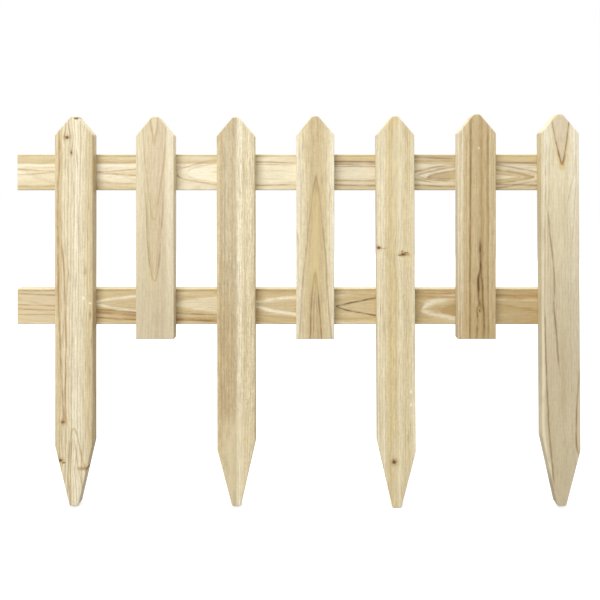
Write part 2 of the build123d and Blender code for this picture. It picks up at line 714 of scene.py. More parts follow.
@dataclass
class Board:
    """A flat board with eased rims that stands for one node of the frame.

    Its outline is a convex shape in the plane of the fence, given as corners with the radius
    that each is softened to. Front and back are grids of points, with inner_columns between the
    rims, and wall_segments steps of faces join them. Sizes are in metres.
    """

    node: str
    finish: PlanedFir
    slot: str
    run: Run
    rim_radius: float = 1.3 * MM
    sawn_radius: float = 0.4 * MM
    wall_segments: int = 6
    inner_columns: int = 15
    waviness: float = 0.12 * MM
    low: Vector = field(default_factory=Vector)
    high: Vector = field(default_factory=Vector)

    # Where the columns of points stand from an edge, in shares of the rim's radius.
    RIM_SHARES = (0.0, 0.07, 0.18, 0.33, 0.52, 0.75, 1.0, 1.5)
    # The half width, in the rim's radii, below which the columns of points draw together.
    NARROW = 3.5
    # The size across and along of the waves that planing leaves, in millimetres.
    WAVE_SIZE = (18, 45)
    # How often the outline's place is halved towards.
    HALVINGS = 40

    def __post_init__(self) -> None:
        """Take the board's place and size from the frame."""
        self.low, self.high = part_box(self.node)

    def axes(self) -> tuple:
        """Return the numbers of the axes across and along the board."""
        return (0, 2) if self.run is Run.UPRIGHT else (2, 0)

    def length(self) -> float:
        """Return the board's length along the grain."""
        along = self.axes()[1]
        return self.high[along] - self.low[along]

    def origin(self) -> Vector:
        """Find the point from which the grain is placed.

        Returns:
            The middle of the front face's foot.
        """
        across, along = self.axes()
        point = Vector(self.low)
        point[across] = 0.5 * (self.low[across] + self.high[across])
        point[along] = self.low[along]
        return point

    def corners(self) -> list:
        """Describe the outline, anticlockwise from its foot.

        Returns:
            Each corner as (across, along, radius) from the board's origin.
        """
        across = self.axes()[0]
        half = 0.5 * (self.high[across] - self.low[across])
        outline = [(-half, 0.0), (half, 0.0), (half, self.length()), (-half, self.length())]
        return [(x, y, self.sawn_radius) for x, y in outline]

    def inset(self, across: np.ndarray, along: np.ndarray) -> np.ndarray:
        """Measure how far points lie inside the softened outline.

        Args:
            across: the points' places across the board.
            along: their places along it.

        Returns:
            The distance to the outline, below zero outside it.
        """
        corners = self.corners()
        count = len(corners)
        sides = []
        for i in range(count):
            start, end = np.array(corners[i][:2]), np.array(corners[(i + 1) % count][:2])
            direction = (end - start) / np.linalg.norm(end - start)
            sides.append((across - start[0]) * -direction[1] + (along - start[1]) * direction[0])
        depth = np.minimum.reduce(sides)
        for i in range(count):
            before, here, after = (np.array(corners[j % count][:2]) for j in (i - 1, i, i + 1))
            into, out = here - before, after - here
            cosine = into @ out / np.linalg.norm(into) / np.linalg.norm(out)
            softness = 4 * corners[i][2] * (1 - math.cos(0.5 * math.acos(cosine)))
            overlap = np.maximum(softness - np.abs(sides[i - 1] - sides[i]), 0) / softness
            nearest = np.minimum(sides[i - 1], sides[i]) <= depth + softness
            depth = depth - np.where(nearest, overlap ** 2 * softness / 4, 0)
        return depth

    def rows(self) -> np.ndarray:
        """Place the rows of points, close together near corners.

        Returns:
            The rows' places along the board.
        """
        marks = sorted({round(corner[1], 6) for corner in self.corners()})
        finest, growth, coarsest = 0.12 * MM, 0.28, 4.0 * MM
        places = [marks[0]]
        while places[-1] < marks[-1]:
            gaps = [abs(places[-1] - mark) for mark in marks]
            ahead = [abs(places[-1] + 2 * MM - mark) for mark in marks]
            step = min(coarsest, finest + growth * min(min(gaps), min(ahead)))
            places.append(places[-1] + step)
        places[-1] = marks[-1]
        if places[-1] - places[-2] < 0.3 * finest:
            places.pop(-2)
        return np.array(places)

    def edge_of(self, along: np.ndarray, side: int) -> np.ndarray:
        """Find the outline on one side of the middle.

        Args:
            along: the rows' places along the board.
            side: minus one for the left or lower side, one for the other.

        Returns:
            The outline's place across the board for each row.
        """
        across = self.axes()[0]
        reach = 0.5 * (self.high[across] - self.low[across])
        inside, outside = np.zeros_like(along), np.full_like(along, reach * 1.01)
        for _ in range(self.HALVINGS):
            middle = 0.5 * (inside + outside)
            within = self.inset(side * middle, along) >= -1e-9
            inside, outside = np.where(within, middle, inside), np.where(within, outside, middle)
        return side * inside

    def grid(self) -> tuple:
        """Lay the grid of points that covers the face.

        Returns:
            The points' places across and along the board.
        """
        rows = self.rows()
        left, right = self.edge_of(rows, -1), self.edge_of(rows, 1)
        rim = np.array(self.RIM_SHARES) * self.rim_radius
        half = 0.5 * (right - left)
        squeeze = np.minimum(1.0, half / (self.NARROW * self.rim_radius))[:, None]
        inner = np.linspace(0, 1, self.inner_columns + 2)[None, 1:-1]
        first, last = left[:, None] + rim[-1] * squeeze, right[:, None] - rim[-1] * squeeze
        across = np.hstack([
            left[:, None] + rim[None, :] * squeeze,
            first + (last - first) * inner,
            right[:, None] - rim[None, ::-1] * squeeze,
        ])
        along = np.repeat(rows[:, None], across.shape[1], axis=1)
        return across, along

    def relief(self, across: np.ndarray, along: np.ndarray) -> np.ndarray:
        """Give the slight waves that planing leaves, always into the wood.

        Args:
            across: the points' places across the board.
            along: their places along it.

        Returns:
            How far each point lies below the true face.
        """
        wide, long = self.WAVE_SIZE
        waves = [
            noise.noise(Vector((a / MM / wide, b / MM / long, self.finish.seed)))
            for a, b in zip(across.flat, along.flat)
        ]
        return self.waviness * (0.5 + 0.5 * np.array(waves).reshape(across.shape))

    def sheets(self, across: np.ndarray, along: np.ndarray) -> list:
        """Place the points of the front and of the back, which both roll over at the rim.

        Args:
            across: the points' places across the board.
            along: their places along it.

        Returns:
            The points of the waved front and of the plain back.
        """
        thickness = self.high[1] - self.low[1]
        inset = np.clip(self.inset(across, along), 0, self.rim_radius)
        drop = self.rim_radius - np.sqrt(self.rim_radius ** 2 - (self.rim_radius - inset) ** 2)
        front = drop + self.relief(across, along) * (inset / self.rim_radius)
        depths = (front, thickness - drop)
        return [np.column_stack([across.ravel(), depth.ravel(), along.ravel()]) for depth in depths]

    @staticmethod
    def sheet_faces(count: int, width: int) -> list:
        """Join the points of the front and of the back, which face away from each other.

        Args:
            count: the number of rows of points.
            width: the number of points in a row.

        Returns:
            The faces.
        """
        faces = []
        for i in range(count - 1):
            for j in range(width - 1):
                quad = [i * width + j, i * width + j + 1, (i + 1) * width + j + 1, (i + 1) * width + j]
                faces.append(quad)
                faces.append([k + count * width for k in reversed(quad)])
        return faces

    @staticmethod
    def rim_loop(count: int, width: int) -> list:
        """Walk once round the edge of the front.

        Args:
            count: the number of rows of points.
            width: the number of points in a row.

        Returns:
            The numbers of the points on the edge, in order.
        """
        rim = [(0, j) for j in range(width)]
        rim += [(i, width - 1) for i in range(1, count)]
        rim += [(count - 1, j) for j in range(width - 2, -1, -1)]
        rim += [(i, 0) for i in range(count - 2, 0, -1)]
        return [i * width + j for i, j in rim]

    def mesh(self) -> bpy.types.Mesh:
        """Build the closed mesh of the board.

        Returns:
            The mesh, in the frame of the whole section.
        """
        across, along = self.grid()
        count, width = across.shape
        points = self.sheets(across, along)
        faces = self.sheet_faces(count, width)
        edge = self.rim_loop(count, width)
        loops = [edge]
        total = 2 * count * width
        for step in range(1, self.wall_segments):
            share = step / self.wall_segments
            ring = [points[0][k] * (1 - share) + points[1][k] * share for k in edge]
            points.append(np.array(ring))
            loops.append(list(range(total, total + len(edge))))
            total += len(edge)
        loops.append([count * width + k for k in edge])
        for near, far in zip(loops, loops[1:]):
            for k in range(len(edge)):
                ahead = (k + 1) % len(edge)
                faces.append([near[ahead], near[k], far[k], far[ahead]])
        place = np.vstack(points)
        if self.run is Run.LEVEL:
            place = place[:, ::-1]
            faces = [face[::-1] for face in faces]
        mesh = bpy.data.meshes.new(f"{self.node}_wood")
        mesh.from_pydata((place + np.array(self.origin())).tolist(), [], faces)
        mesh.validate()
        return mesh

    def build(self) -> bpy.types.Object:
        """Build the board, dress it and let it stand for its node.

        Returns:
            The board's object.
        """
        piece = new_object(f"{self.node}_wood", self.mesh(), self.finish.material(self))
        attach(piece, BODY)
        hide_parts(self.node)
        LOG.info("%s: %d faces", piece.name, len(piece.data.polygons))
        return piece


@dataclass
class Picket(Board):
    """An upright board with a blunt pointed head, and a sharpened foot if it is a stake."""

    head_rise: float = 24 * MM
    head_flat: float = 7 * MM
    head_radius: float = 4 * MM
    tip_rise: float = 75 * MM
    tip_flat: float = 11 * MM
    tip_radius: float = 2.5 * MM
    shoulder_radius: float = 3 * MM
    sharpened: bool = False
    width: float = 48 * MM
    sweep: float = 0.0
    taper_error: tuple = (0.0, 0.0)

    def swept(self, points: list) -> list:
        """Lean an outline over, so that its tip stands to the right of its head.

        Args:
            points: (across, along, radius) of the upright outline.

        Returns:
            The same with each point moved by its share of the sweep.
        """
        slant = self.sweep / self.length()
        middle = 0.5 * self.length()
        return [(across + slant * (middle - along), along, radius) for across, along, radius in points]

    def origin(self) -> Vector:
        """Find the point where the board's middle line meets its foot at the front.

        Returns:
            The point.
        """
        point = super().origin()
        points = self.swept(self.upright_corners())
        reach = [across for across, _, _ in points]
        point.x = self.low.x - min(reach)
        return point

    def corners(self) -> list:
        """Return the outline, as (across, along, radius) from the board's origin."""
        return self.swept(self.upright_corners())

    def upright_corners(self) -> list:
        """Describe the outline before it is leant over.

        Returns:
            Each corner as (across, along, radius).
        """
        half = 0.5 * self.width
        top = self.length()
        square_foot = [(-half, 0.0, self.sawn_radius), (half, 0.0, self.sawn_radius)]
        sharp_foot = [
            (-half, self.tip_rise + self.taper_error[0], self.shoulder_radius),
            (-0.5 * self.tip_flat, 0.0, self.tip_radius),
            (0.5 * self.tip_flat, 0.0, self.tip_radius),
            (half, self.tip_rise + self.taper_error[1], self.shoulder_radius),
        ]
        head = [
            (half, top - self.head_rise, self.head_radius),
            (0.5 * self.head_flat, top, self.head_radius),
            (-0.5 * self.head_flat, top, self.head_radius),
            (-half, top - self.head_rise, self.head_radius),
        ]
        return (sharp_foot if self.sharpened else square_foot) + head


@dataclass(frozen=True)
class GalvanisedWire:
    """Galvanised steel wire, drawn and coated with zinc.

    The zinc gives it a dull grey sheen with faint clouds.
    """

    hex_colour: str = "#9A9C9B"
    roughness: float = 0.42
    cloud_width: float = 1.5 * MM

    def material(self) -> bpy.types.Material:
        """Build the finish.

        Returns:
            The material.
        """
        material = bpy.data.materials.new("galvanised_wire")
        material.use_nodes = True
        tree = material.node_tree
        tree.nodes.clear()
        point = add_node(tree, "ShaderNodeTexCoord", {}, output=3)
        cloud = add_node(tree, NOISE, {"Vector": point, "Scale": 1 / self.cloud_width})
        level = add_node(tree, MATH, {0: cloud, 1: 0.3, 2: 0.85}, operation="MULTIPLY_ADD")
        rgb = linear(self.hex_colour)[:3]
        colour = add_node(tree, VECTOR, {0: rgb, 3: level}, operation="SCALE")
        metal = {"Base Color": colour, "Metallic": 1.0, "Roughness": self.roughness}
        surface = add_node(tree, "ShaderNodeBsdfPrincipled", metal)
        add_node_output(tree, surface)
        return material


@dataclass
class Staples:
    """The staples shot through the backs of the rails into the pickets, two at each crossing.

    crown, wire, flatness, bend and leg describe one staple, and proud is how far its crown stands
    out of the wood. spread, rise and turn place it about the middle of the crossing, and the
    errors are how far the hand strays.
    """

    rails: tuple
    pickets: tuple
    crown: float = 10 * MM
    wire: float = 1.1 * MM
    flatness: float = 0.7
    bend: float = 1.2 * MM
    leg: float = 2.5 * MM
    proud: float = 0.35 * MM
    spread: float = 13 * MM
    turn: float = math.radians(78)
    turn_error: float = 0.5
    rise: float = 0.6
    rise_error: float = 4 * MM
    sides: int = 8

    def one(self, centre: Vector, turn: float) -> tuple:
        """Build one staple: a flat crown that bends into the wood at both ends.

        Args:
            centre: the middle of the crown on the back of the rail.
            turn: its turn from level, in radians.

        Returns:
            Points and faces.
        """
        half, bend, sides = 0.5 * self.crown, self.bend, self.sides
        out_radius, lift_radius = 0.5 * self.wire, 0.5 * self.flatness * self.wire
        path = [(-half, -self.leg)]
        for step in range(5):
            angle = math.pi - step * math.pi / 8
            path.append((-half + bend + bend * math.cos(angle), self.proud - bend + bend * math.sin(angle)))
        path += [(-x, y) for x, y in reversed(path)]
        points, faces = [], []
        for i, (x, y) in enumerate(path):
            before, after = path[max(i - 1, 0)], path[min(i + 1, len(path) - 1)]
            slope = math.atan2(after[1] - before[1], after[0] - before[0])
            for side in range(sides):
                angle = 2 * math.pi * side / sides
                out, lift = out_radius * math.cos(angle), lift_radius * math.sin(angle)
                along = x - lift * math.sin(slope)
                depth = y - lift_radius + lift * math.cos(slope)
                level = along * math.cos(turn) - out * math.sin(turn)
                height = along * math.sin(turn) + out * math.cos(turn)
                points.append(centre + Vector((level, depth, height)))
        for i in range(len(path) - 1):
            for side in range(sides):
                a, b = i * sides + side, i * sides + (side + 1) % sides
                faces.append([a, b, b + sides, a + sides])
        faces.append(list(range(sides))[::-1])
        faces.append(list(range((len(path) - 1) * sides, len(path) * sides)))
        return points, faces

    def build(self) -> bpy.types.Object:
        """Build all the staples as one piece.

        Returns:
            The staples' object.
        """
        points, faces = [], []
        for rail in self.rails:
            low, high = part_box(rail)
            for number, picket in enumerate(self.pickets):
                left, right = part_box(picket)
                for side in (-1, 1):
                    tilt = noise.noise(Vector((number * 1.7, side * 2.3, low.z * 10)))
                    centre = Vector((
                        0.5 * (left.x + right.x) + side * self.spread,
                        high.y,
                        0.5 * (low.z + high.z) + side * self.rise * self.spread + tilt * self.rise_error,
                    ))
                    more, panels = self.one(centre, self.turn + tilt * self.turn_error)
                    faces += [[k + len(points) for k in panel] for panel in panels]
                    points += more
        mesh = bpy.data.meshes.new("rail_staples")
        mesh.from_pydata(points, [], faces)
        mesh.validate()
        piece = new_object("rail_staples", mesh, GalvanisedWire().material())
        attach(piece, BODY)
        LOG.info("%s: %d faces", piece.name, len(mesh.polygons))
        return piece


@dataclass
class Studio:
    """A pale floor, a white backdrop, soft lamps and the camera.

    The floor is matt white paper: it shows the soft shadows of the stakes and no reflection.
    """

    middle: Vector
    foot: float
    camera_distance: float = 849 * MM
    camera_across: float = 290.8 * MM
    camera_height: float = 419.1 * MM
    frame_width: float = 754.6 * MM
    principal: tuple = (305.0, 173.0)
    image_size: float = 600.0
    world_level: float = 0.72
    floor_reach: float = 12.0

    def floor(self) -> bpy.types.Object:
        """Lay a wide pale floor that the stakes stand on.

        Returns:
            The floor's object.
        """
        reach = self.floor_reach
        mesh = bpy.data.meshes.new("floor")
        corners = [(-reach, -reach), (reach, -reach), (reach, reach), (-reach, reach)]
        mesh.from_pydata([(x, y, self.foot) for x, y in corners], [], [[0, 1, 2, 3]])
        material = bpy.data.materials.new("white_paper_floor")
        material.use_nodes = True
        tree = material.node_tree
        tree.nodes.clear()
        paper = add_node(tree, "ShaderNodeBsdfDiffuse", {"Color": linear("#DEDEDE")})
        glow = add_node(tree, "ShaderNodeEmission", {"Color": (1.0, 1.0, 1.0, 1.0), "Strength": 0.48})
        bounce = add_node(tree, "ShaderNodeBsdfDiffuse", {"Color": linear("#969696")})
        path = add_node(tree, "ShaderNodeLightPath", {}).node
        lit = add_node(tree, "ShaderNodeAddShader", {0: paper, 1: glow})
        seen = add_node(tree, "ShaderNodeMixShader", {0: path.outputs["Is Camera Ray"], 1: bounce, 2: lit})
        add_node_output(tree, seen)
        floor = new_object("floor", mesh, material)
        floor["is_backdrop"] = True
        return floor

    def world(self) -> None:
        """Light everything evenly, and show the camera and reflections plain white."""
        world = bpy.data.worlds.new("studio")
        bpy.context.scene.world = world
        world.use_nodes = True
        tree = world.node_tree
        tree.nodes.clear()
        path = add_node(tree, "ShaderNodeLightPath", {}).node
        seen = path.outputs["Is Camera Ray"]
        for other in ("Is Glossy Ray", "Is Transmission Ray"):
            seen = add_node(tree, MATH, {0: seen, 1: path.outputs[other]}, operation="MAXIMUM")
        level = add_node(tree, "ShaderNodeMapRange", {0: seen, 3: self.world_level, 4: 1.0})
        sky = add_node(tree, "ShaderNodeBackground", {"Color": (1.0, 1.0, 1.0, 1.0), "Strength": level})
        output = tree.nodes.new("ShaderNodeOutputWorld")
        tree.links.new(sky, output.inputs["Surface"])

    def lamp(self, name: str, offset: tuple, size: float, watts: float) -> None:
        """Hang one square softbox that faces the middle of the section.

        Args:
            name: the lamp's name.
            offset: its place from the middle, in metres.
            size: the side of its square, in metres.
            watts: its power.
        """
        data = bpy.data.lights.new(name, "AREA")
        data.size = size
        data.energy = watts
        lamp = bpy.data.objects.new(name, data)
        lamp.location = self.middle + Vector(offset)
        lamp.rotation_euler = Vector(offset).to_track_quat("Z", "Y").to_euler()
        bpy.context.scene.collection.objects.link(lamp)

    def camera(self) -> None:
        """Set the camera square to the fence and near its heads, with its view shifted down."""
        data = bpy.data.cameras.new("camera")
        data.sensor_width = 36.0
        data.lens = data.sensor_width * self.camera_distance / self.frame_width
        data.shift_x = (0.5 * self.image_size - self.principal[0]) / self.image_size
        data.shift_y = (self.principal[1] - 0.5 * self.image_size) / self.image_size
        data.clip_start = 10 * MM
        camera = bpy.data.objects.new("camera", data)
        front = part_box("stake_1")[0].y
        camera.location = (self.camera_across, front - self.camera_distance, self.camera_height)
        camera.rotation_euler = (math.radians(90), 0.0, 0.0)
        bpy.context.scene.collection.objects.link(camera)
        bpy.context.scene.camera = camera

    def build(self) -> None:
        """Set up camera, floor, backdrop and lamps."""
        bpy.context.scene.view_settings.view_transform = "Standard"
        self.camera()
        self.floor()
        self.world()
        self.lamp("key_softbox", (-0.95, -2.25, 1.0), 1.5, 37.0)
        self.lamp("top_softbox", (-0.2, -0.3, 2.2), 1.8, 24.0)
        self.lamp("back_softbox", (0.6, 2.4, 0.7), 1.5, 16.0)
        LOG.info("studio: camera %.0f mm away", self.camera_distance / MM)


def board_finishes() -> dict:
    """Describe the wood of each board, with its own grain, knots and streaks.

    Returns:
        The finish of each board by the name of its node.
    """
    return {
        "stake_1": PlanedFir(
            bands=(
                (-24, Tone.STRAW), (-17, Tone.STRAW), (-12, Tone.PALE), (-4, Tone.PALE), (2, Tone.CREAM),
                (12, Tone.PALE), (18, Tone.STRAW), (24, Tone.TAN),
            ),
            pith_across=((0, -58), (492, -50)),
            pith_depth=((0, 20), (492, 26)),
            ring_width=3.4, ring_strength=0.75, fine_tone=Tone.BARK, fine_strength=0.55, seed=1.0,
            shade=((0, 0.05), (140, 0.12), (400, 0.05), (491, 0.0)), shade_tone=Tone.GREY_TAN,
            marks=(
                Mark(3.8, 488.0, 4.2, 1.7, Tone.KNOT, 0.0),
                Mark(-8.6, 463.9, 2.6, 2.0, Tone.KNOT),
                Mark(-3.0, 444.7, 1.2, 2.3, Tone.KNOT, 0.4),
                Mark(-17.0, 57.5, 2.6, 1.6, Tone.KNOT, 0.5),
                Mark(-12.8, 54.5, 2.6, 1.0, Tone.BARK, 0.0),
                Mark(12.0, 47.5, 4.6, 1.3, Tone.UMBER, 0.5),
                Mark(16.5, 47.0, 1.6, 1.2, Tone.BARK, 0.0),
                Mark(-13.5, 106.0, 2.0, 1.6, Tone.BARK, 0.6),
                Mark(12.3, 262.0, 1.6, 2.4, Tone.CREAM, 0.0),
                Mark(20.4, 255.6, 1.8, 1.0, Tone.CREAM, 0.0),
            ),
            streaks=(
                Streak(((110, -13.5), (250, -19), (350, -19.5), (480, -17.5)), 1.8, Tone.RUST, 0.8),
                Streak(((102, -12.5), (200, -10), (262, -11), (330, -15)), 1.6, Tone.RUST, 0.75),
            ),
            arches=(
                Arch(-1.0, 96.0, -1, 9.0, 40, 0.6, 90, 1.5, Tone.UMBER, 0.7, slant=0.08),
                Arch(-1.0, 80.0, -1, 6.0, 40, 0.6, 90, 1.3, Tone.UMBER, 0.7, slant=0.08),
            ),
        ),
        "short_picket_2": PlanedFir(
            bands=(
                (-24, Tone.PALE), (-14, Tone.PALE), (-4, Tone.STRAW), (4, Tone.ROSE), (11, Tone.ROSE),
                (15, Tone.PALE), (18, Tone.CREAM), (24, Tone.PALE),
            ),
            pith_across=((0, -50), (280, -46)),
            pith_depth=((0, 27.5), (280, 24)),
            ring_width=3.6, ring_strength=0.2, fine_strength=0.35, fuzz=0.36, wander=1.4, seed=2.0,
            shade=((0, 0.7), (40, 0.68), (100, 0.45), (155, 0.28), (281, 0.25)), shade_tone=Tone.GREY_TAN,
            streaks=(Streak(((72, -0.5), (80, -0.5), (92, -0.5)), 2.2, Tone.HONEY, 1.0),),
            arches=(
                Arch(-0.6, 249.0, 1, 4.0, 24, 0.85, 80, 1.6, Tone.UMBER, 0.8, Tone.PALE, 0.35),
                Arch(-0.5, 149.0, 1, 7.0, 38, 0.65, 150, 1.6, Tone.UMBER, 0.7, Tone.ROSE, 0.3),
                Arch(-0.5, 162.0, 1, 4.4, 36, 0.6, 110, 1.0, Tone.UMBER, 0.35),
                Arch(-0.5, 77.0, 1, 7.0, 38, 0.45, 140, 1.5, Tone.BARK, 0.5, Tone.TAN, 0.3),
                Arch(-0.5, 84.0, 1, 5.2, 38, 0.5, 120, 1.1, Tone.UMBER, 0.5),
            ),
        ),
        "stake_3": PlanedFir(
            bands=(
                (-24, Tone.STRAW), (-20, Tone.TAN), (-12, Tone.GREY_TAN), (-8, Tone.TAN),
                (-4, Tone.GREY_TAN), (-0.5, Tone.GREY_TAN), (1.6, Tone.PALE), (5, Tone.CREAM),
                (8, Tone.PALE), (11, Tone.STRAW), (16, Tone.PALE), (24, Tone.STRAW),
            ),
            pith_across=((0, -62), (492, -58)),
            pith_depth=((0, 12), (492, 16)),
            ring_width=3.0, ring_strength=0.45, wander=0.9, fuzz=0.8, saw_marks=0.05, seed=3.0,
            shade=((0, 0.0), (70, 0.03), (115, 0.12), (260, 0.12), (320, 0.0), (492, 0.0)),
            shade_tone=Tone.UMBER,
            streaks=(
                Streak(((0, 6), (70, 7), (120, 9)), 15.0, Tone.STRAW, 0.6),
                Streak(((0, -12), (60, -10), (110, -8)), 14.0, Tone.STRAW, 0.8),
                Streak(((105, -12), (180, -12), (262, -12)), 16.0, Tone.UMBER, 0.3),
                Streak(((310, -12), (380, -12), (470, -12)), 16.0, Tone.PALE, 0.15),
                Streak(((130, -15.0), (300, -14.4), (460, -15.0)), 1.2, Tone.BARK, 0.25),
                Streak(((100, -9.4), (230, -9.8), (330, -9.2)), 1.1, Tone.BARK, 0.25),
                Streak(((150, -5.6), (300, -5.2), (440, -5.7)), 1.2, Tone.BARK, 0.2),
                Streak(((120, -18.2), (320, -18.8), (470, -18.2)), 1.2, Tone.BARK, 0.3),
            ),
        ),
        "short_picket_4": PlanedFir(
            bands=(
                (-24, Tone.CREAM), (-16, Tone.PALE), (-11, Tone.STRAW), (-7, Tone.TAN), (8, Tone.TAN),
                (13, Tone.STRAW), (17, Tone.PALE), (24, Tone.CREAM),
            ),
            pith_across=((0, -50), (280, -48)),
            pith_depth=((0, 17.5), (280, 26.2)),
            ring_width=3.2, ring_strength=0.3, wander=1.2, seed=4.0,
            shade=((0, 0.25), (50, 0.2), (105, 0.07), (150, 0.0), (281, 0.0)), shade_tone=Tone.UMBER,
            streaks=(
                Streak(((60, 0.2), (140, 0.2), (186, 0.2)), 9.0, Tone.HONEY, 0.7),
                Streak(((190, 0.2), (196, 0.2), (202, 0.2)), 2.6, Tone.UMBER, 0.9),
                Streak(((70, 0.4), (77, 0.4), (80, 0.4)), 2.0, Tone.BARK, 0.7),
            ),
            arches=(
                Arch(0.2, 203.5, -1, 7.5, 53, 0.75, 300, 1.4, Tone.BARK, 0.55, Tone.TAN, 0.4),
                Arch(0.2, 192.0, -1, 5.0, 53, 0.75, 120, 1.2, Tone.UMBER, 0.7),
                Arch(0.4, 81.5, -1, 5.0, 39, 0.6, 200, 1.5, Tone.BARK, 0.8),
                Arch(0.4, 64.0, -1, 2.6, 39, 0.7, 200, 1.1, Tone.BARK, 0.45),
            ),
        ),
        "stake_5": PlanedFir(
            bands=(
                (-24, Tone.PALE), (-14, Tone.PALE), (-8, Tone.HONEY), (-3, Tone.STRAW), (0, Tone.HONEY),
                (4, Tone.PALE), (10, Tone.STRAW), (14, Tone.STRAW), (24, Tone.PALE),
            ),
            pith_across=((0, -50), (494, -46)),
            pith_depth=((0, 14), (494, 18)),
            ring_width=3.0, ring_strength=0.4, fine_strength=0.55, seed=5.0,
            marks=(
                Mark(-21.7, 328.0, 2.2, 1.8, Tone.KNOT, 0.6),
                Mark(-16.5, 326.6, 4.5, 0.7, Tone.UMBER, 0.0),
                Mark(9.2, 319.2, 3.4, 1.5, Tone.KNOT, 0.7),
                Mark(12.8, 321.4, 2.6, 1.2, Tone.BARK, 0.0),
                Mark(4.4, 318.0, 2.6, 1.0, Tone.BARK, 0.0),
                Mark(15.2, 319.2, 2.0, 1.2, Tone.UMBER, 0.0),
                Mark(7.4, 323.0, 1.4, 2.0, Tone.RUST, 0.0),
                Mark(-2.8, 312.0, 2.0, 4.4, Tone.GREY_TAN, 0.0),
                Mark(-2.4, 58.2, 2.6, 2.8, Tone.KNOT, 0.5),
                Mark(18.4, 146.6, 1.2, 2.8, Tone.CREAM, 0.0),
                Mark(19.0, 129.9, 1.2, 2.8, Tone.CREAM, 0.0),
            ),
            streaks=(
                Streak(((463, -5), (485, -4.5)), 1.8, Tone.RUST, 0.6),
                Streak(((330, 0), (400, 0), (484, 0)), 9.0, Tone.PALE, 0.4),
                Streak(((2, 0), (30, 0), (86, 0)), 11.0, Tone.PALE, 0.45),
            ),
        ),
        "short_picket_6": PlanedFir(
            bands=(
                # The cream at -24 runs over the left side face too: partly the pale edge of the wood,
                # partly painted light on the side the key lamp lights.
                (-24, Tone.CREAM), (-21, Tone.STRAW), (-19.5, Tone.CREAM), (-17.5, Tone.PALE),
                (-15.5, Tone.TAN), (-13.5, Tone.STRAW), (-11, Tone.STRAW), (-8.4, Tone.UMBER),
                (-5, Tone.TAN), (1, Tone.TAN), (6, Tone.UMBER), (10, Tone.TAN), (14, Tone.UMBER),
                (16, Tone.STRAW), (19, Tone.TAN), (24, Tone.STRAW),
            ),
            pith_across=((0, -60), (280, -56)),
            pith_depth=((0, 16), (282, 20)),
            ring_width=3.0, ring_strength=0.35, fine_tone=Tone.RUST, fine_strength=0.35,
            wander=0.7, seed=6.0,
            shade=((0, 0.6), (50, 0.5), (100, 0.28), (180, 0.2), (281, 0.12)), shade_tone=Tone.UMBER,
            marks=(
                Mark(2.5, 240.5, 1.5, 1.4, Tone.PALE, 0.0),
                Mark(3.4, 35.5, 1.5, 2.2, Tone.BARK, 0.0),
            ),
            streaks=(
                Streak(((84, 5.5), (100, 4.4), (120, 3.9)), 2.5, Tone.BARK, 1.0),
                Streak(((84, 5.5), (100, 4.4), (120, 3.9)), 1.4, Tone.KNOT, 1.0, True),
                Streak(((3, 8.4), (32, 8.7), (46, 7.4), (70, 7.0), (84, 5.5)), 2.0, Tone.BARK, 1.0),
                Streak(((43, 3.6), (51, 2.4), (60, 2.4), (76, 2.0), (86, 3.6)), 2.6, Tone.BARK, 1.0),
                Streak(((46, 3.4), (51, 2.4), (60, 2.4), (76, 2.0), (84, 3.4)), 1.4, Tone.KNOT, 1.0, True),
                Streak(((3, 0.2), (31, 0.7), (36, 0.2), (43, 2.2)), 2.0, Tone.BARK, 1.0),
                Streak(((0, -8.6), (140, -8.2), (276, -7.5)), 1.5, Tone.BARK, 0.75),
                Streak(((0, -13.5), (140, -12.5), (262, -13.5)), 1.2, Tone.RUST, 0.5),
                Streak(((0, 14.5), (140, 14.0), (260, 14)), 1.3, Tone.BARK, 0.45),
            ),
        ),
        "stake_7": PlanedFir(
            bands=(
                (-24, Tone.STRAW), (-21, Tone.CREAM), (-19, Tone.CREAM), (-14, Tone.PALE), (0, Tone.PALE),
                (8, Tone.PALE), (17, Tone.CREAM), (24, Tone.PALE),
            ),
            pith_across=((0, 52), (494, 48)),
            pith_depth=((0, 18), (494, 20)),
            ring_width=3.3, ring_strength=0.2, fine_strength=0.3, fuzz=0.36, seed=7.0,
            shade=(
                (0, 0.8), (120, 0.87), (250, 0.72), (300, 0.5), (350, 0.35), (405, 0.1), (430, 0.0),
                (494, 0.0),
            ),
            shade_tone=Tone.GREY_TAN,
            streaks=(
                Streak(((40, -12), (90, -21), (170, -21.5), (330, -22)), 3.6, Tone.PALE, 0.9),
                Streak(((246.8, -10.4), (284.5, -7.9), (327, -11.7), (372.5, -16.7)), 1.5, Tone.BARK, 0.6),
                Streak(((170, -2.5), (205, -5.5), (250, -8.9)), 1.6, Tone.BARK, 0.75),
                Streak(((27.9, -9.2), (95.8, -14.2), (171.3, -18), (246.8, -20)), 1.5, Tone.BARK, 0.75),
                Streak(((250, -20.5), (370, -19.5), (450, -18.5)), 1.3, Tone.UMBER, 0.7),
                Streak(((300, -16), (370, -15.5), (450, -14.5)), 1.2, Tone.UMBER, 0.5),
                Streak(((65.7, 21), (75.7, 18.5), (95.8, 18.5), (171, 23.5)), 1.6, Tone.BARK, 0.8),
                Streak(((80, 21.5), (110, 21.5), (160, 24)), 2.4, Tone.ROSE, 0.8),
                Streak(((120, 3), (160, 2.5), (215, 1)), 3.5, Tone.UMBER, 0.35),
                Streak(((377.6, 7.7), (397.7, 10.9), (422.8, 16), (465.6, 18.5)), 1.2, Tone.BARK, 0.3),
                Streak(((330, 14), (380, 17), (440, 18.5)), 1.2, Tone.BARK, 0.3),
            ),
            arches=(
                Arch(0.2, 424.0, 1, 9.5, 58, 0.75, 60, 4.0, Tone.HONEY, 0.9),
                Arch(0.2, 431.0, 1, 6.0, 20, 0.85, 22, 2.2, Tone.RUST, 0.8, Tone.HONEY, 0.6),
                Arch(0.2, 434.0, 1, 10.9, 50, 0.7, 260, 1.5, Tone.BARK, 0.75, Tone.ROSE, 0.85),
            ),
